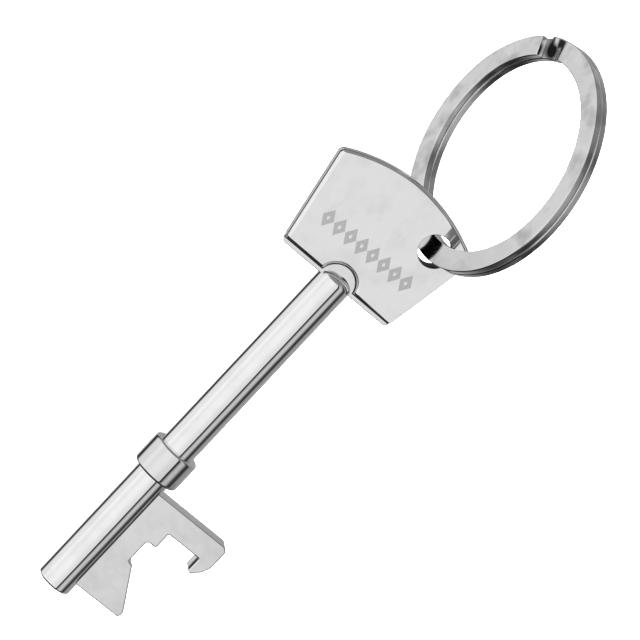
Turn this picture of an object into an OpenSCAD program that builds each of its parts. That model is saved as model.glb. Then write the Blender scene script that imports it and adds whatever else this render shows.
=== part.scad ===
// Key-shaped pocket bottle opener on a split ring.
// X runs along the shank from the tip to the head, Y away from the bit, Z out of the front face.
// The origin is the centre of the flat end of the barrel.

/* [Shank] */
// Diameter of the round shank
shank_d = 4.5; // [4.2:0.1:4.8]
// Rounding of the edge round the barrel's flat end
tip_edge = 0.35; // [0.2:0.05:0.5]
// Height of the shank's domed end, which lies on the head
dome_h = 1.3; // [1:0.1:1.5]
// How far the domed end reaches past the head's lower edge
dome_reach = 1.4; // [1:0.1:1.4]

/* [Collar] */
// Outside diameter of the collar
collar_d = 6.2; // [5.6:0.1:7]
// Length of the collar
collar_l = 4.1; // [3:0.1:5]
// Distance from the tip to the collar's near end
collar_x = 18.1; // [17:0.1:24]
// Rounding of the collar's two outer edges
collar_edge = 0.4; // [0.2:0.05:0.6]

/* [Head] */
// Distance from the tip to the head's lower edge
head_x = 49.3; // [44:0.1:56]
// Height of the head, to the top of its arched edge
head_h = 15.3; // [14.5:0.1:16]
// Width of the head at its lower edge
head_w = 16.2; // [15:0.1:17]
// Outward lean of each side of the head, in degrees
flare = 10.5; // [8:0.5:12]
// Radius of the arched edge
crown_r = 21.6; // [19:0.1:26]
// Thickness of the middle plate
plate_t = 1.2; // [1:0.1:1.6]
// Thickness of each face plate
face_t = 0.5; // [0.4:0.05:0.7]
// Width of the ledge that the middle plate shows below the face plates
ledge = 0.65; // [0.5:0.05:1]
// Radius of the recess in the face plates round the domed end
recess_r = 2.5; // [2.4:0.1:3]

/* [Ring hole] */
// Diameter of the hole that the split ring runs through
hole_d = 4; // [4:0.1:4.4]
// Distance of the hole's centre above the head's lower edge
hole_up = 10.7; // [10:0.1:10.8]
// Distance of the hole's centre from the key's long axis, on the bit's side
hole_side = 6.1; // [5.5:0.1:6.2]

/* [Bit] */
// Thickness of the bit
bit_t = 2.7; // [2:0.1:2.8]
// Distance from the tip to the bit's lower edge
bit_x = 1.9; // [1.5:0.1:2.5]
// Length of the bit along the barrel
bit_l = 14.9; // [14.8:0.1:15]
// Reach of the cap hook from the key's long axis
bit_reach = 12.8; // [12.4:0.1:13]
// Width of the arm that carries the cap hook
arm_w = 3.05; // [2.8:0.05:3.2]
// Thickness of the hook's beak
beak_w = 1.95; // [1.8:0.05:2.1]
// Length of the beak below the arm
beak_l = 2.1; // [1.8:0.05:2.2]
// Reach of the tooth that bears on the top of the cap
tooth_reach = 8.6; // [8.2:0.05:8.8]
// Distance of the mouth's floor from the key's long axis
mouth_floor = 4.7; // [4.5:0.05:5]

/* [Split ring] */
// Outside diameter of the split ring
ring_d = 30; // [29:0.5:31]
// Width of the flattened wire, across the ring
wire_w = 2.6; // [2.2:0.1:2.6]
// Thickness of the flattened wire
wire_t = 0.9; // [0.7:0.05:0.9]
// Angle of the crossover from the ring's outer side, in degrees
cross_at = 21.75; // [0:0.25:90]
// Angle over which the wire crosses from one turn to the other, in degrees
cross_span = 8; // [8:1:20]
// Slant of the crossover: how far its outer edge runs ahead, in degrees for each mm of width
cross_slant = 4.4; // [0:0.1:4.4]

/* [Ring pose] */
// Swing of the ring about the hole at rest, in degrees
ring_swing = 6.3; // [-20:0.1:20]
// Lean of the ring over from square to the head at rest, in degrees
ring_lean = 20; // [0:1:20]

/* [Hidden] */

$fn = 96;
chrome = [0.80, 0.81, 0.82];
chrome_dark = [0.66, 0.67, 0.69];
steel = [0.72, 0.73, 0.74];

shank_r = shank_d / 2;
shank_end = head_x + dome_reach;
head_t = plate_t + 2 * face_t;
face_x = head_x + ledge;
recess_x = face_x - 0.5;
slot_floor = 0.4;
turn_gap = 0.02;
wire_rest = 0.06;
cut_gap = 0.5 + cross_slant * wire_w / 2;
ring_mean_r = (ring_d - wire_w) / 2;
turn_z = (wire_t + turn_gap) / 2;
wire_edge = 0.1;
turn_steps = 72;

// ---- outlines -------------------------------------------------------------

function unit(v) = v / norm(v);

// Points of the arc of radius r that rounds the corner at p between the points a and b.
function corner_arc(a, p, b, r, steps = 6) =
    let (u = unit(a - p), v = unit(b - p), half = acos(u * v) / 2)
    let (centre = p + unit(u + v) * r / sin(half), run = r / tan(half))
    let (from = p + u * run - centre, to = p + v * run - centre)
    let (a0 = atan2(from.y, from.x), turn = atan2(to.y, to.x) - a0)
    let (sweep = turn > 180 ? turn - 360 : turn < -180 ? turn + 360 : turn)
    [for (i = [0:steps]) centre + r * [cos(a0 + sweep * i / steps), sin(a0 + sweep * i / steps)]];

// An outline whose points are [x, y, radius of the corner there].
function rounded(points) =
    let (n = len(points), xy = [for (q = points) [q.x, q.y]])
    [for (i = [0:n - 1]) each points[i][2] == 0 ? [xy[i]]
        : corner_arc(xy[(i + n - 1) % n], xy[i], xy[(i + 1) % n], points[i][2])];

// Half the head's width at a height up from its lower edge.
function half_width(up) = head_w / 2 + up * tan(flare);

// Height at which a side of the head meets the arched edge.
function shoulder_up() =
    let (m = tan(flare), w = head_w / 2, c = head_h - crown_r, b = c - m * w)
    (b + sqrt(b * b - (1 + m * m) * (c * c + w * w - crown_r * crown_r))) / (1 + m * m);

// The head's outline from the height low up to the arched edge.
function head_outline(low) =
    let (top = shoulder_up(), cx = head_h - crown_r, steps = 32)
    let (reach = asin(half_width(top) / crown_r))
    let (arch = [for (i = [1:steps - 1]) let (a = reach * (2 * i / steps - 1))
        [cx + crown_r * cos(a), crown_r * sin(a), 0]])
    rounded([
        [low, -half_width(low), 0.4],
        [top, -half_width(top), 0.7],
        each arch,
        [top, half_width(top), 0.7],
        [low, half_width(low), 0.4],
    ]);

// The bit's outline, in distances along the key and out from its long axis.
function bit_outline() =
    let (top = bit_x + bit_l, arm = top - arm_w, beak_in = bit_reach - beak_w, beak_end = arm - beak_l)
    rounded([
        [bit_x, slot_floor, 0],
        [bit_x, tooth_reach, 0.5],
        [bit_x + 0.9, tooth_reach, 0.3],
        [bit_x + 6.1, mouth_floor + 0.7, 0.15],
        [bit_x + 6.3, mouth_floor, 0.1],
        [arm - 2.3, mouth_floor, 0.4],
        [arm - 2.3, mouth_floor + 1.35, 0.15],
        [arm, mouth_floor + 1.35, 0.15],
        [arm, beak_in, 0.15],
        [beak_end, beak_in, 0.2],
        [beak_end, beak_in + 0.5, 0.3],
        [beak_end + 0.95, bit_reach - 0.5, 0.9],
        [beak_end + 2.1, bit_reach, 1.2],
        [top, bit_reach, 0.5],
        [top, slot_floor, 0],
    ]);

// ---- head -----------------------------------------------------------------

// A plate of the head, from the height low up, with the ring's hole through it.
module head_layer(low, z, t) {
    difference() {
        translate([head_x, 0, z]) linear_extrude(height = t) polygon(head_outline(low));
        translate([head_x + hole_up, -hole_side, z - 1]) cylinder(d = hole_d, h = t + 2);
    }
}

// A face plate is cut back from the ledge and round the shank's domed end.
module face_layer(z) {
    difference() {
        head_layer(ledge, z, face_t);
        translate([recess_x, 0, z - 1]) cylinder(r = recess_r, h = face_t + 2);
    }
}

module head_plate() {
    color(chrome_dark) head_layer(0, -plate_t / 2, plate_t);
}

module front_face() {
    color(chrome) face_layer(plate_t / 2);
}

module rear_face() {
    color(chrome) face_layer(-plate_t / 2 - face_t);
}

// ---- shank and collar -----------------------------------------------------

// A solid of revolution about the X axis; its profile is in [radius, distance along X].
module turned(profile) {
    rotate([0, 90, 0]) rotate_extrude() polygon(profile);
}

function quarter(r, z, radius, from) =
    [for (i = [0:6]) [r + radius * cos(from + 15 * i), z + radius * sin(from + 15 * i)]];

// The shank is slotted at its domed end for the head and along its barrel for the bit.
module shank() {
    dome = [for (i = [0:12]) [shank_r * cos(7.5 * i), shank_end - dome_h + dome_h * sin(7.5 * i)]];
    tip = quarter(shank_r - tip_edge, tip_edge, tip_edge, -90);
    color(chrome) difference() {
        turned([[0, 0], each tip, each dome]);
        translate([head_x, -shank_d, -plate_t / 2]) cube([shank_d, 2 * shank_d, plate_t]);
        translate([bit_x, -shank_d, -bit_t / 2]) cube([bit_l, shank_d - slot_floor, bit_t]);
    }
}

module collar() {
    r = collar_d / 2 - collar_edge;
    color(chrome) translate([collar_x, 0, 0]) turned([
        [shank_r, 0],
        each quarter(r, collar_edge, collar_edge, -90),
        each quarter(r, collar_l - collar_edge, collar_edge, 0),
        [shank_r, collar_l],
    ]);
}

// ---- bit ------------------------------------------------------------------

module bit() {
    color(chrome) translate([0, 0, -bit_t / 2]) linear_extrude(height = bit_t)
        polygon([for (q = bit_outline()) [q.x, -q.y]]);
}

// ---- split ring -----------------------------------------------------------

// Height of the wire, at a distance across it: low on its first turn and high on its second.
function wire_level(angle, across) =
    let (t = min(1, max(0, (cross_at - 360 - angle + cross_slant * across) / cross_span)))
    turn_z * (2 * t * t * (3 - 2 * t) - 1);

// The flattened wire's section at an angle round the ring: a rectangle with eased corners.
function wire_section(angle) =
    let (w = wire_w / 2, h = wire_t / 2, e = wire_edge)
    let (corners = [[w, h - e], [w - e, h], [e - w, h], [-w, h - e],
        [-w, e - h], [e - w, -h], [w - e, -h], [w, e - h]])
    [for (c = corners) let (r = ring_mean_r + c.x)
        [r * cos(angle), r * sin(angle), wire_level(angle, c.x) + c.y]];

// One wire wound twice round; each end stops just short of the crossover.
module split_ring_wire() {
    start = cross_at - cross_span - cut_gap;
    sweep = 720 - cross_span - 2 * cut_gap;
    steps = 2 * turn_steps;
    n = 8;
    points = [for (i = [0:steps]) each wire_section(start - sweep * i / steps)];
    sides = [for (i = [0:steps - 1], j = [0:n - 1])
        let (a = i * n + j, b = i * n + (j + 1) % n) [a, b, b + n, a + n]];
    ends = [[for (j = [0:n - 1]) n - 1 - j], [for (j = [0:n - 1]) steps * n + j]];
    polyhedron(points, concat(sides, ends), convexity = 6);
}

// The ring runs through the hole, where its wire rests a little off the hole's axis.
module split_ring() {
    color(steel) translate([head_x + hole_up + wire_rest, -hole_side - wire_rest, 0])
        rotate([0, 0, ring_swing]) rotate([ring_lean - 90, 0, 0])
            translate([ring_mean_r, 0, 0]) split_ring_wire();
}

head_plate();
front_face();
rear_face();
shank();
collar();
bit();
split_ring();
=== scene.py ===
import bpy
import numpy as np
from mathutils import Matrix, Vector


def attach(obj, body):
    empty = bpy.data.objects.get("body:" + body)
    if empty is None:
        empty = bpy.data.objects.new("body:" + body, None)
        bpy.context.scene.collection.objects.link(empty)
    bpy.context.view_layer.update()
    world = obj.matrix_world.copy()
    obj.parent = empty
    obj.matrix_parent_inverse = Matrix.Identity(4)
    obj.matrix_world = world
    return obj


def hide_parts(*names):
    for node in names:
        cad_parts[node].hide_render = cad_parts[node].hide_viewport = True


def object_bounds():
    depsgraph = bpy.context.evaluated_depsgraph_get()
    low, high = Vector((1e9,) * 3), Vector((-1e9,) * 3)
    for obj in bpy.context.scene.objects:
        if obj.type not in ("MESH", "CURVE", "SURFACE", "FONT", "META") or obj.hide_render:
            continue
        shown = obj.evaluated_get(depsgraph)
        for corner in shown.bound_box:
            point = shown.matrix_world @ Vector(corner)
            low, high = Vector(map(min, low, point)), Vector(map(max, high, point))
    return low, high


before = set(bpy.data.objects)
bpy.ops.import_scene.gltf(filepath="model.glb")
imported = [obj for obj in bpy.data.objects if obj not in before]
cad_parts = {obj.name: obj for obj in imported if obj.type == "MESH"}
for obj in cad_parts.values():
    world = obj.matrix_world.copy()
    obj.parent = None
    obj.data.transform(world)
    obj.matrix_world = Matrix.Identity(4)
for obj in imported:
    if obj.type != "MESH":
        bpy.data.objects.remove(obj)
cad_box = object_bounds()


# ---- Shank ----------------------------------------------------------------
# A turned steel rod, 4.5 mm thick. Its tip is faced off flat and its other end is domed
# and straddles the bow. The whole key is polished and then nickel and chrome plated.

MM = 0.001
SHANK_R = 2.25
SHANK_END = 50.7
DOME_H = 1.3
TIP_EDGE = 0.35
TURN_COLUMNS = 160


def solid(name, points, faces, node, body="key"):
    """Makes a smooth mesh of points in millimetres, which stands for one node of the model."""
    mesh = bpy.data.meshes.new(name)
    mesh.from_pydata((points * MM).tolist(), [], faces)
    mesh.shade_smooth()
    piece = bpy.data.objects.new(name, mesh)
    bpy.context.scene.collection.objects.link(piece)
    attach(piece, body)
    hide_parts(node)
    return piece


def walls(rows, first=0):
    """Faces over rows of points, an array of shape (m, n, 3) whose points are numbered from first.

    Point [i, j] is joined to points [i + 1, j] and [i, j + 1], and the last of a row to its first.
    """
    m, n = rows.shape[:2]
    i, j = np.meshgrid(np.arange(m - 1), np.arange(n), indexing="ij")
    a, b = first + i * n + j, first + i * n + (j + 1) % n
    return np.stack([a, b, b + n, a + n], axis=-1).reshape(-1, 4).tolist()


def tube(name, rows, node, body="key"):
    """A closed piece: walls over the rows, and one flat face over the first row and the last."""
    m, n = rows.shape[:2]
    ends = [np.arange(n)[::-1].tolist(), (np.arange(n) + (m - 1) * n).tolist()]
    return solid(name, rows.reshape(-1, 3), walls(rows) + ends, node, body)


def arc(centre, radii, start, stop, steps=9):
    """Points of an ellipse between two angles in degrees: the centre, plus the first radius times
    the angle's cosine along one axis and the second times its sine along the other."""
    turn = np.radians(np.linspace(start, stop, steps))
    return np.array(centre) + np.array(radii) * np.stack([np.cos(turn), np.sin(turn)], axis=-1)


def turned(profile):
    """Carries a profile of (distance along X, radius) once round the X axis: each of its points
    runs through a circle of its own radius in the plane square to X."""
    x, r = profile.T[:, :, None]
    turn = np.linspace(0, 2 * np.pi, TURN_COLUMNS, endpoint=False)
    return np.stack([x + 0 * turn, r * np.cos(turn), r * np.sin(turn)], axis=-1)


def grey(level):
    """A grey with no tint, as a colour socket takes it."""
    return (level, level, level, 1.0)


class Value:
    """One value in a material or in the studio's light. Its operators add Math nodes."""

    def __init__(self, tree, socket=None):
        self.tree = tree
        self.socket = socket

    def node(self, kind, settings, sockets, out=0):
        """Adds a node, sets its settings, then gives its sockets their values or links.

        The setting "stops" is a ramp's list of (place, grey), and out names the output that is
        handed back.
        """
        made = self.tree.nodes.new(kind)
        for key, setting in settings.items():
            if key == "stops":
                ramp = made.color_ramp.elements
                for k, (place, level) in enumerate(setting):
                    stop = ramp[k] if k < 2 else ramp.new(place)
                    stop.position = place
                    stop.color = grey(level)
            else:
                setattr(made, key, setting)
        for key, value in sockets.items():
            if isinstance(value, Value):
                self.tree.links.new(value.socket, made.inputs[key])
            else:
                made.inputs[key].default_value = value
        return Value(self.tree, made.outputs[out])

    def math(self, operation, a, b=0.0, clamp=False):
        """Adds a Math node on a and b, whose result stays between 0 and 1 if clamp is set."""
        settings = {"operation": operation, "use_clamp": clamp}
        return self.node("ShaderNodeMath", settings, {0: a, 1: b})

    def __add__(self, other):
        return self.math("ADD", self, other)

    def __sub__(self, other):
        return self.math("SUBTRACT", self, other)

    def __mul__(self, other):
        return self.math("MULTIPLY", self, other)

    def __radd__(self, other):
        return self.math("ADD", other, self)

    def __rsub__(self, other):
        return self.math("SUBTRACT", other, self)

    def __rmul__(self, other):
        return self.math("MULTIPLY", other, self)

    def __abs__(self):
        return self.math("ABSOLUTE", self)

    def maximum(self, other):
        return self.math("MAXIMUM", self, other)

    def ramp(self, low, high):
        """A slope from 0 at low to 1 at high, level beyond them; low may be the higher one."""
        return self.math("MULTIPLY", self - low, 1 / (high - low), clamp=True)

    def part(self, name):
        """The X, Y or Z of a vector."""
        return self.node("ShaderNodeSeparateXYZ", {}, {"Vector": self}, name)

    def vector(self, operation, sockets, out=0):
        """Adds a Vector Math node."""
        return self.node("ShaderNodeVectorMath", {"operation": operation}, sockets, out)

    def noise(self, scale, detail=2.0):
        """Soft cloud noise with one cloud to every 1/scale mm. A scale of three numbers is that
        along X, Y and Z, and one number is the same along all."""
        size = self.vector("MULTIPLY", {0: self, 1: tuple(np.broadcast_to(scale, 3).tolist())})
        return self.node("ShaderNodeTexNoise", {}, {"Vector": size, "Scale": 1.0, "Detail": detail})

    def mix(self, a, b):
        """Colour a where this value is 0 and colour b where it is 1."""
        return self.node("ShaderNodeMix", {"data_type": "RGBA"}, {0: self, 6: a, 7: b}, out=2)


def plating(
    name, level, grain=(0.25, 3.0, 3.0), rough=0.05, wave=0.5, stain=0.0, etch=None, painted_shade=None
):
    """Bright chrome over polished steel, of a grey level.

    The shine is uneven from handling, fine polishing lines run along the grain, a few pinholes
    dull it, and slow waves under the plating bend what it mirrors. stain is how dark the worn
    clouds in it are, etch the share of satin marks, and bore the share that is painted near
    black and rough, as painted shade down in holes, creases and gaps.
    """
    material = bpy.data.materials.new(name)
    material.use_nodes = True
    tree = material.node_tree
    tree.nodes.clear()
    place = Value(tree).node("ShaderNodeTexCoord", {}, {}, "Object")
    mm = place.vector("SCALE", {0: place, "Scale": 1 / MM})
    smudge = mm.noise(0.35, 4.0)
    lines = mm.noise(tuple(8 * g for g in grain), 3.0)
    waves = mm.noise((0.12, 0.3, 0.3), 1.0)
    pinhole = mm.node("ShaderNodeTexVoronoi", {}, {"Vector": mm, "Scale": 1.6}, "Distance")
    pits = pinhole.ramp(0.07, 0.03)
    dull = smudge.ramp(0.45, 0.75)
    marks = lines.ramp(0.58, 0.75)
    base = (0.5 * dull + 0.25 * marks).mix(grey(level), grey(0.86 * level))
    base = (stain * mm.noise(0.3).ramp(0.5, 0.68)).mix(base, grey(0.2))
    roughness = rough + 0.05 * dull + 0.04 * marks + 0.2 * pits
    height = wave * waves + 0.004 * lines - 0.02 * pits
    if etch is not None:
        mask = etch(mm)
        base = mask.mix(base, grey(0.74))
        roughness = roughness + 0.33 * mask
        height = height - 0.02 * mask + 0.02 * mask * mm.noise(9.0)
    # Painted shade: where the mask is 1 the metal goes near black, in place of the shade there.
    if painted_shade is not None:
        shade_share = painted_shade(mm)
        base = shade_share.mix(base, grey(0.015))
        roughness = roughness + 0.45 * shade_share
    relief = {"Height": height, "Strength": 1.0, "Distance": 0.02 * MM}
    bump = height.node("ShaderNodeBump", {}, relief, "Normal")
    shader = bump.node(
        "ShaderNodeBsdfPrincipled",
        {},
        {"Base Color": base, "Metallic": 1.0, "Roughness": roughness, "Normal": bump},
        "BSDF",
    )
    tree.links.new(shader.socket, tree.nodes.new("ShaderNodeOutputMaterial").inputs["Surface"])
    return material


# A point 0.1 or 0.2 mm before and after a rounding keeps the flats beside it flat when shaded.
shank_profile = np.concatenate([
    [[0, 0.02], [0, SHANK_R - TIP_EDGE - 0.1]],
    arc((TIP_EDGE, SHANK_R - TIP_EDGE), (TIP_EDGE, TIP_EDGE), 180, 90),
    [[TIP_EDGE + 0.1, SHANK_R]],
    np.linspace([1, SHANK_R], [SHANK_END - DOME_H - 0.2, SHANK_R], 24),
    arc((SHANK_END - DOME_H, 0), (DOME_H, SHANK_R), 90, 0.5, 24),
])
shank = tube("shank_rod", turned(shank_profile), "shank")
shank.data.materials.append(
    plating("shank_chrome", 0.86, grain=(0.02, 1.0, 1.0), rough=0.03, wave=1.5)
)


# ---- Bit ------------------------------------------------------------------
# The working end: a flat steel piece 2.7 mm thick, set in a slot along the barrel. The pointed
# tooth bears on a crown cap while the hook's beak lifts its skirt. Its edges are eased by tumbling.

BIT_X = 1.9
BIT_TOP = 16.8
BIT_T = 2.7
BIT_REACH = 12.8
ARM_IN = 13.75
BEAK_IN = 10.85
BEAK_END = 11.65
MOUTH = 4.7
TOOTH = 8.6
BIT_EASE = 0.17


def rounded(corners, steps=7):
    """Rounds the corners of an outline, each given as (x, y, radius of the corner).

    The arc of each corner touches its two sides. Its centre is on their bisector, the radius over
    the sine of half their angle away, and its points are blends of the two lines from there to
    the sides, in sines of their share of the sweep. A point just beyond each end of the arc keeps
    the flat sides flat when they are shaded smooth. A radius of 0 keeps the point as it is.
    """
    p, r = corners[:, :2], corners[:, 2:]
    u = np.roll(p, 1, axis=0) - p
    v = np.roll(p, -1, axis=0) - p
    u /= np.linalg.norm(u, axis=1, keepdims=True)
    v /= np.linalg.norm(v, axis=1, keepdims=True)
    half = np.arccos(np.sum(u * v, axis=1, keepdims=True)) / 2
    run = r / np.tan(half)
    middle = u + v
    centre = p + middle / np.linalg.norm(middle, axis=1, keepdims=True) * r / np.sin(half)
    share = np.linspace(0, 1, steps)[None, :]
    start, stop = p + u * run - centre, p + v * run - centre
    sweep = np.pi - 2 * half
    near = np.sin((1 - share) * sweep) / np.sin(sweep)
    far = np.sin(share * sweep) / np.sin(sweep)
    arcs = centre[:, None] + near[:, :, None] * start[:, None] + far[:, :, None] * stop[:, None]
    guard = np.where(r > 0, run + np.minimum(0.05, 0.4 * r), 0)
    arcs = np.concatenate([(p + u * guard)[:, None], arcs, (p + v * guard)[:, None]], axis=1)
    points = arcs.reshape(-1, 2)
    apart = np.linalg.norm(points - np.roll(points, 1, axis=0), axis=1)
    return points[apart > 1e-4]


def inset(outline, depth, share):
    """Moves an outline inwards by each depth: every point goes along the bisector of its two sides.

    share scales the depth at each point, so that one edge of a plate may be rounder than another.
    """
    along = np.roll(outline, -1, axis=0) - outline
    along /= np.linalg.norm(along, axis=1, keepdims=True)
    inwards = np.stack([-along[:, 1], along[:, 0]], axis=-1)
    before = np.roll(inwards, 1, axis=0)
    way = (inwards + before) / (1 + np.sum(inwards * before, axis=1, keepdims=True))
    return outline[None] + depth[:, None, None] * (way * share)[None]


def eased(outline, low, high, under, over, share=1.0):
    """Carries the section of a plate's edge round its outline.

    The section is upright and turns onto the lower and upper faces in quarter circles of the radii
    under and over. It ends a little inside them, which keeps the faces flat when shaded smooth.
    """
    section = np.concatenate([
        [[under + 0.04, low]],
        arc((under, low + under), (under, under), -90, -180, 6),
        arc((over, high - over), (over, over), 180, 90, 6),
        [[over + 0.04, high]],
    ])
    flat = inset(outline, section[:, 0], share)
    level = np.broadcast_to(section[:, 1][:, None, None], flat.shape[:2] + (1,))
    return np.concatenate([flat, level], axis=-1)


bit_outline = rounded(np.array([
    [BIT_X, 0.4, 0.3],
    [BIT_X, TOOTH, 0.5],
    [BIT_X + 0.9, TOOTH, 0.3],
    [BIT_X + 6.1, MOUTH + 0.7, 0.3],
    [BIT_X + 6.3, MOUTH, 0.15],
    [ARM_IN - 2.3, MOUTH, 0.4],
    [ARM_IN - 2.3, MOUTH + 1.35, 0.26],
    [ARM_IN, MOUTH + 1.35, 0.15],
    [ARM_IN, BEAK_IN, 0.15],
    [BEAK_END, BEAK_IN, 0.24],
    [BEAK_END, BEAK_IN + 0.5, 0.32],
    [BEAK_END + 0.95, BIT_REACH - 0.5, 0.9],
    [BEAK_END + 2.1, BIT_REACH, 1.2],
    [BIT_TOP, BIT_REACH, 0.7],
    [BIT_TOP, 0.4, 0.3],
])) * [1, -1]
bit_rows = eased(bit_outline, -BIT_T / 2, BIT_T / 2, BIT_EASE, BIT_EASE)
bit = tube("hooked_bit", bit_rows, "bit")
bit.data.materials.append(
    plating("bit_chrome", 0.80, grain=(1.0, 0.05, 0.5), rough=0.09, wave=1.0)
)


# ---- Collar ---------------------------------------------------------------
# A short turned sleeve, pressed on the shank above the bit. Both rims are rounded over, and the
# plating runs on over its joins with the shank.

COLLAR_X = 18.1
COLLAR_L = 4.1
COLLAR_R = 3.1
COLLAR_SUNK = SHANK_R - 0.15
RIM = 0.4
RIM_GUARD = 0.06

# The ends run a little way into the shank, so that no gap shows, and a point on each side of a
# rim's rounding keeps the flats beside it flat when shaded.
collar_profile = np.concatenate([
    [[COLLAR_X, COLLAR_SUNK], [COLLAR_X, COLLAR_R - RIM - RIM_GUARD]],
    arc((COLLAR_X + RIM, COLLAR_R - RIM), (RIM, RIM), 180, 90),
    [[COLLAR_X + RIM + RIM_GUARD, COLLAR_R]],
    [[COLLAR_X + COLLAR_L - RIM - RIM_GUARD, COLLAR_R]],
    arc((COLLAR_X + COLLAR_L - RIM, COLLAR_R - RIM), (RIM, RIM), 90, 0),
    [[COLLAR_X + COLLAR_L, COLLAR_R - RIM - RIM_GUARD], [COLLAR_X + COLLAR_L, COLLAR_SUNK]],
])
collar = tube("pressed_collar", turned(collar_profile), "collar")
collar.data.materials.append(
    plating("collar_chrome", 0.76, grain=(1.0, 0.1, 0.1), rough=0.04, wave=1.2)
)


# ---- Head plates ----------------------------------------------------------
# The bow is a middle plate 1.2 mm thick between two face plates of 0.5 mm. The face plates stop
# short of the lower edge and are cut back round the shank's dome. One hole takes the ring.

HEAD_X = 49.3
HEAD_H = 15.3
HEAD_W = 16.2
FLARE = np.radians(10.5)
CROWN_R = 21.6
PLATE_T = 1.2
FACE_T = 0.5
LEDGE = 0.65
LOW_CORNER = 0.46
TOP_CORNER = 0.7
RECESS_R = 2.5
RECESS_DROP = 0.5
CORE_EASE = 0.12
FOOT_EASE = 0.04
FACE_EASE = 0.42
HOLE = np.array([HEAD_X + 10.7, -6.1])
HOLE_R = 2.0
ROW_X = 54.9
ROW_LOW = -7.0
PITCH = 1.75
LOZENGES = 8


def bow_corners(low):
    """The bow's outline from a height low above its edge: leaning sides under an arched top.

    The sides meet the arch where a straight line that leans by the flare cuts the circle of the
    crown, the higher root of a quadratic. The arch stops short of both corners' roundings.
    """
    slope, half = np.tan(FLARE), HEAD_W / 2
    rise = HEAD_H - CROWN_R
    b = rise - slope * half
    top = (b + np.sqrt(b * b - (1 + slope**2) * (rise**2 + half**2 - CROWN_R**2))) / (1 + slope**2)
    reach = np.degrees(np.arcsin((half + top * slope) / CROWN_R))
    arch = arc((rise, 0), (CROWN_R, CROWN_R), -reach, reach, 97)[4:-4]
    right = [[low, -half - low * slope, LOW_CORNER], [top, -half - top * slope, TOP_CORNER]]
    left = [[top, half + top * slope, TOP_CORNER], [low, half + low * slope, LOW_CORNER]]
    corners = np.concatenate([right, np.insert(arch, 2, 0.0, axis=1), left])
    return corners + [HEAD_X, 0, 0]


def face_outline():
    """The bow's outline above the ledge, cut back in part of a circle round the shank's dome."""
    corners = bow_corners(LEDGE)
    low = corners[0, 0]
    mouth = np.sqrt(RECESS_R**2 - RECESS_DROP**2)
    turn = np.degrees(np.arcsin(mouth / RECESS_R))
    bay = arc((low - RECESS_DROP, 0), (RECESS_R, RECESS_R), turn, -turn, 49)[5:-5]
    bay = np.insert(bay, 2, 0.0, axis=1)
    edge = [[low, mouth, LOW_CORNER], *bay, [low, -mouth, LOW_CORNER]]
    return rounded(np.concatenate([corners, edge]))


def side_share(outline):
    """How round the edge is: 1 along the arch and the +Y side, 0.95 along the lower edge and round
    the recess, and 0.35 along the -Y side."""
    low = HEAD_X + LEDGE
    side = HEAD_W / 2 + (outline[:, 0] - HEAD_X) * np.tan(FLARE) + outline[:, 1]
    sharp = 0.35 + 0.65 * np.clip(side / 1.5, 0, 1)
    above = outline[:, 0] - low
    out = np.hypot(outline[:, 0] - low + RECESS_DROP, outline[:, 1]) - RECESS_R
    return (sharp * np.clip(0.95 + 0.05 * np.minimum(above, out), 0.95, 1.0))[:, None]


def pierced(name, outline, share, low, high, under, over, node):
    """A plate with the ring's hole: one eased wall round its outline and one round the hole.

    Each face is closed by two flat faces, which meet on lines from the hole to the outline.
    """
    turn = np.linspace(0, 2 * np.pi, 96, endpoint=False)
    rim = HOLE + HOLE_R * np.stack([np.cos(turn), -np.sin(turn)], axis=-1)
    outer = eased(outline, low, high, under, over, share)
    inner = eased(rim, low, high, under, over, 0.3)
    m, n = outer.shape[:2]
    count, first = inner.shape[1], m * n
    away = outer[-1, :, :2] - HOLE
    angle = np.arctan2(away[:, 1], away[:, 0])
    cuts = [int(np.argmin(np.abs(angle + np.pi / 2))), int(np.argmin(np.abs(angle)))]
    holes = [count // 4, 0]
    caps = []
    for row, turn_over in ((0, True), (m - 1, False)):
        ring_row = first + row * count + np.arange(count)
        edge_row = row * n + np.arange(n)
        for a, b in ((0, 1), (1, 0)):
            edge = np.roll(edge_row, -cuts[a])[: (cuts[b] - cuts[a]) % n + 1]
            hole = np.roll(ring_row, -holes[b])[: (holes[a] - holes[b]) % count + 1]
            cap = np.concatenate([edge, hole]).tolist()
            caps.append(cap[::-1] if turn_over else cap)
    points = np.concatenate([outer.reshape(-1, 3), inner.reshape(-1, 3)])
    return solid(name, points, walls(outer) + walls(inner, first) + caps, node)


def lozenges(mm):
    """The share of satin marks: one row of lozenges across the bow, each with a bright heart.

    off grows from a lozenge's middle as the sum of the distances along Y and X, each by its own
    factor, and a mark lies between two levels of it.
    """
    across = (mm.part("Y") - ROW_LOW) * (1 / PITCH)
    off = abs(across.math("FRACT", across) - 0.5) * 2.3 + abs(mm.part("X") - ROW_X) * 0.85
    inside = across.ramp(-0.01, 0.01) * across.ramp(LOZENGES + 0.01, LOZENGES - 0.01)
    return off.ramp(1.12, 1.02) * off.ramp(0.22, 0.34) * inside


def hole_shade(mm):
    """1 on the wall of the ring's hole and 0 elsewhere: painted shade, which makes the wall near
    black.
    """
    x, y = mm.part("X") - HOLE[0], mm.part("Y") - HOLE[1]
    return (x * x + y * y).ramp((HOLE_R + 0.06) ** 2, (HOLE_R + 0.02) ** 2)


def seam_shade(mm):
    """Painted shade: 1 in the ring's hole, at the foot of each face plate's lower edge and recess,
    and down the crease between the plates along the bow's sides, where the metal is painted near
    black."""
    up = mm.part("X") - (HEAD_X + LEDGE)
    x = up + RECESS_DROP
    y = mm.part("Y")
    apart = mm.math("SQRT", x * x + y * y)
    foot = (0 - up).maximum(RECESS_R - apart)
    level = abs(mm.part("Z"))
    line = foot.ramp(0.18, 0.12) * foot.ramp(-0.02, 0.0)
    side = level.ramp(0.3, 0.38) * foot.ramp(-0.05, -0.12)
    return hole_shade(mm).maximum(line.maximum(side))


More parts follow.
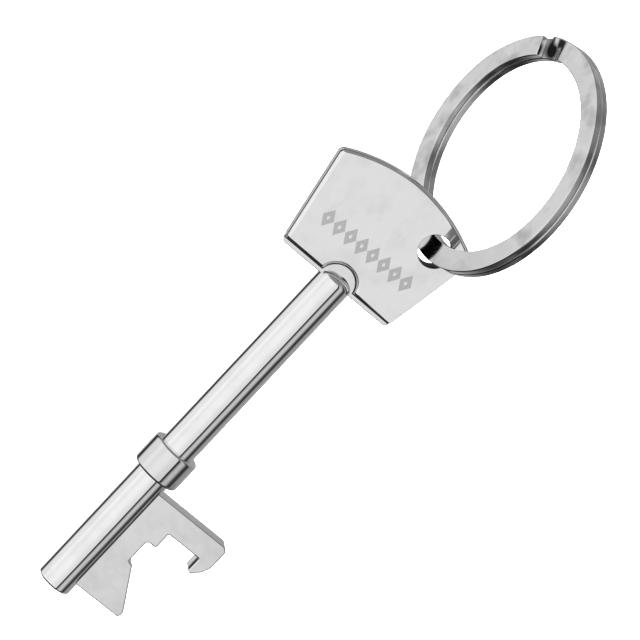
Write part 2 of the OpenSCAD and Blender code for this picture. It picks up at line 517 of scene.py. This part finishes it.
MIDDLE = PLATE_T / 2
OUTER = PLATE_T / 2 + FACE_T
core_outline = rounded(bow_corners(0))
panel = face_outline()
share = side_share(panel)

core = pierced("bow_plate", core_outline, 1.0, -MIDDLE, MIDDLE, CORE_EASE, CORE_EASE, "head_plate")
core.data.materials.append(plating("edge_chrome", 0.84, rough=0.06, painted_shade=seam_shade))

front = pierced(
    "front_face_plate", panel, share, MIDDLE, OUTER, FOOT_EASE, FACE_EASE, "front_face"
)
front.data.materials.append(plating(
    "face_chrome", 0.86, grain=(0.05, 1.0, 1.0), rough=0.06, wave=0.3, etch=lozenges, painted_shade=hole_shade
))

rear = pierced("rear_face_plate", panel, share, -OUTER, -MIDDLE, FACE_EASE, FOOT_EASE, "rear_face")
rear.data.materials.append(plating("back_chrome", 0.86, grain=(0.05, 1.0, 1.0), painted_shade=hole_shade))


# ---- Split ring -----------------------------------------------------------
# One spring steel wire, rolled flat to 2.6 by 0.9 mm and wound twice to 30 mm across. It crosses
# from one turn to the other in a short set bend, and both cut ends stop just short of it.

RING_R = 13.7
WIRE_W = 2.6
WIRE_T = 0.9
TURN_Z = 0.46
CROSS_AT = 21.75
CROSS_SPAN = 8.0
SLANT = 4.4
CUT_GAP = 0.5 + SLANT * WIRE_W / 2
WIRE_EASE = 0.14
CUT_EASE = 0.1
GAP_AT = 21.0
REST = np.array([0.06, -0.06])
SWING = np.radians(6.3)
LEAN = np.radians(20.0)


def wire_section():
    """The wire's section, a rectangle whose corners are eased, as (across, through) from its
    middle."""
    w, t = WIRE_W / 2 - 0.01, WIRE_T / 2
    ease = WIRE_EASE
    corners = np.array([[w, -t, ease], [w, t, ease], [-w, t, ease], [-w, -t, ease]])
    return rounded(corners, 5)


def threaded(x, y, z):
    """Takes points of the ring, laid flat with its wire at the origin, to its place in the hole:
    stood up to its lean about X, turned by its swing about Z, and moved to where it hangs."""
    cl, sl, cs, ss = np.cos(LEAN), np.sin(LEAN), np.cos(SWING), np.sin(SWING)
    y, z = y * sl + z * cl, -y * cl + z * sl
    middle = HOLE + REST
    return np.stack([x * cs - y * ss + middle[0], x * ss + y * cs + middle[1], z], axis=-1)


def wound_wire():
    """Carries the wire's section twice round the ring.

    Through the crossover its level climbs from the lower turn to the upper one on a smooth step,
    which runs ahead along the outer edge by SLANT degrees for each mm across. Each cut end is
    eased over its last tenth of a millimetre.
    """
    start = CROSS_AT - CROSS_SPAN - CUT_GAP
    sweep = 720 - CROSS_SPAN - 2 * CUT_GAP
    close = np.array([0, 0.12, 0.3, 0.5])
    run = np.concatenate([close, np.linspace(0.8, sweep - 0.8, 720), sweep - close[::-1]])
    angle = start - run
    end = np.minimum(run, sweep - run) * np.radians(1) * RING_R
    left = CUT_EASE - np.clip(end, 0, CUT_EASE)
    ease = CUT_EASE - np.sqrt(np.clip(CUT_EASE**2 - left**2, 0, None))
    section = wire_section()
    across = section[:, 0] * (1 - ease[:, None] / (WIRE_W / 2))
    through = section[:, 1] * (1 - ease[:, None] / (WIRE_T / 2))
    t = np.clip((CROSS_AT - 360 - angle[:, None] + SLANT * across) / CROSS_SPAN, 0, 1)
    level = TURN_Z * (2 * t * t * (3 - 2 * t) - 1)
    r = RING_R + across
    a = np.radians(angle)[:, None]
    return threaded(r * np.cos(a) + RING_R, r * np.sin(a), level + through)


def gap_shade(mm):
    """Painted shade: 1 down in the gap beside the crossover, between the ring's two faces, and 0
    away from it, where the wire is painted near black.

    It is a ball round one spot of the wire, cut off short of both faces by its level, the distance
    from the ring's middle plane.
    """
    a = np.radians(GAP_AT)
    spot = threaded(RING_R * np.cos(a) + RING_R, RING_R * np.sin(a), 0.0)
    middle = threaded(0.0, 0.0, 0.0)
    axis = threaded(0.0, 0.0, 1.0) - middle
    away = mm.vector("DISTANCE", {0: mm, 1: tuple(spot.tolist())}, "Value")
    level = mm.vector("DOT_PRODUCT", {0: mm, 1: tuple(axis.tolist())}, "Value")
    return away.ramp(1.6, 1.0) * abs(level - float(axis @ middle)).ramp(0.75, 0.5)


ring = tube("split_ring_wire", wound_wire(), "split_ring", body="ring")
ring.data.materials.append(plating(
    "ring_nickel", 0.75, grain=(0.3, 0.3, 0.3), rough=0.12, wave=2.5, stain=0.45, painted_shade=gap_shade
))


# ---- Studio ---------------------------------------------------------------
# A pale table below the opener, one broad soft light above it, and a white room whose dark
# edges give the chrome something to mirror.

FLOOR_Z = cad_box[0][2] - 0.1 * MM
TABLE_REACH = 2.0
TABLE_CELLS = 32

camera = bpy.data.objects.new("camera", bpy.data.cameras.new("camera"))
camera.data.lens = 198.77
camera.data.sensor_width = 36.0
camera.data.clip_start = 0.01
camera.location = (0.11573, 0.11930, 0.38733)
camera.rotation_euler = np.radians([-19.0134, -6.0596, -47.3288])
bpy.context.scene.collection.objects.link(camera)
bpy.context.scene.camera = camera

# The table top is a flat square grid.
edge = np.linspace(-TABLE_REACH, TABLE_REACH, TABLE_CELLS + 1)
x, y = np.meshgrid(edge, edge, indexing="ij")
table = np.stack([x, y, np.full_like(x, FLOOR_Z)], axis=-1)
i, j = np.meshgrid(np.arange(TABLE_CELLS), np.arange(TABLE_CELLS), indexing="ij")
first = i * len(edge) + j
tops = np.stack([first, first + len(edge), first + len(edge) + 1, first + 1], axis=-1)
floor_mesh = bpy.data.meshes.new("table_top")
floor_mesh.from_pydata(table.reshape(-1, 3).tolist(), [], tops.reshape(-1, 4).tolist())
floor = bpy.data.objects.new("table_top", floor_mesh)
floor.visible_glossy = False
bpy.context.scene.collection.objects.link(floor)
paint = bpy.data.materials.new("table_paint")
paint.use_nodes = True
paint.node_tree.nodes["Principled BSDF"].inputs["Base Color"].default_value = grey(0.9)
paint.node_tree.nodes["Principled BSDF"].inputs["Roughness"].default_value = 0.9
floor_mesh.materials.append(paint)

light = bpy.data.lights.new("soft_box", "AREA")
light.shape = "DISK"
light.size = 1.2
light.energy = 45.0
lamp = bpy.data.objects.new("soft_box", light)
lamp.location = (0.05, 0.0, 0.8)
lamp.visible_glossy = False
lamp.visible_camera = False
bpy.context.scene.collection.objects.link(lamp)

world = bpy.data.worlds.new("white_room")
world.use_nodes = True
bpy.context.scene.world = world
room = world.node_tree
room.nodes.clear()
way = Value(room).node("ShaderNodeTexCoord", {}, {}, "Generated")
turn = way.math("ARCTAN2", way.part("Z"), way.part("Y")) * (180 / np.pi)
# The room's brightness by the angle round the shank: -90 is straight down, 90 straight up.
room_bands = [
    (-180, 0.30), (-159, 0.34), (-135, 0.42), (-112, 0.38), (-100, 0.36), (-88, 0.30), (-83, 0.25),
    (-80, 0.60), (-69.5, 0.70), (-68, 0.02), (-50, 0.02), (-43, 0.35), (-35, 0.80), (-20, 0.86),
    (-8, 0.82), (10, 0.99), (30, 0.87), (50, 0.95), (75, 0.94), (89, 0.84), (98, 0.80),
    (110.5, 0.78), (112.5, 0.02), (118.5, 0.02), (123, 0.34), (131, 0.60), (141, 0.58),
    (149, 0.34), (156, 0.06), (170, 0.03), (176, 0.20), (180, 0.30),
]
stops = [((angle + 180) / 360, level) for angle, level in room_bands]
around = (turn + 180) * (1 / 360)
bands = turn.node("ShaderNodeValToRGB", {"stops": stops}, {"Fac": around}, "Color")
# The wall past the tip is dark, the one past the ring half dark, and what the eye sees is white.
bands = way.part("X").ramp(-0.55, -0.75).mix(bands, grey(0.02))
bands = way.part("X").ramp(0.6, 0.8).mix(bands, grey(0.25))
seen = way.node("ShaderNodeLightPath", {}, {}, "Is Camera Ray")
colour = seen.mix(bands, grey(1.0))
sky = colour.node("ShaderNodeBackground", {}, {"Color": colour, "Strength": 1.08}, "Background")
room.links.new(sky.socket, room.nodes.new("ShaderNodeOutputWorld").inputs["Surface"])

bpy.context.scene.view_settings.view_transform = "Standard"
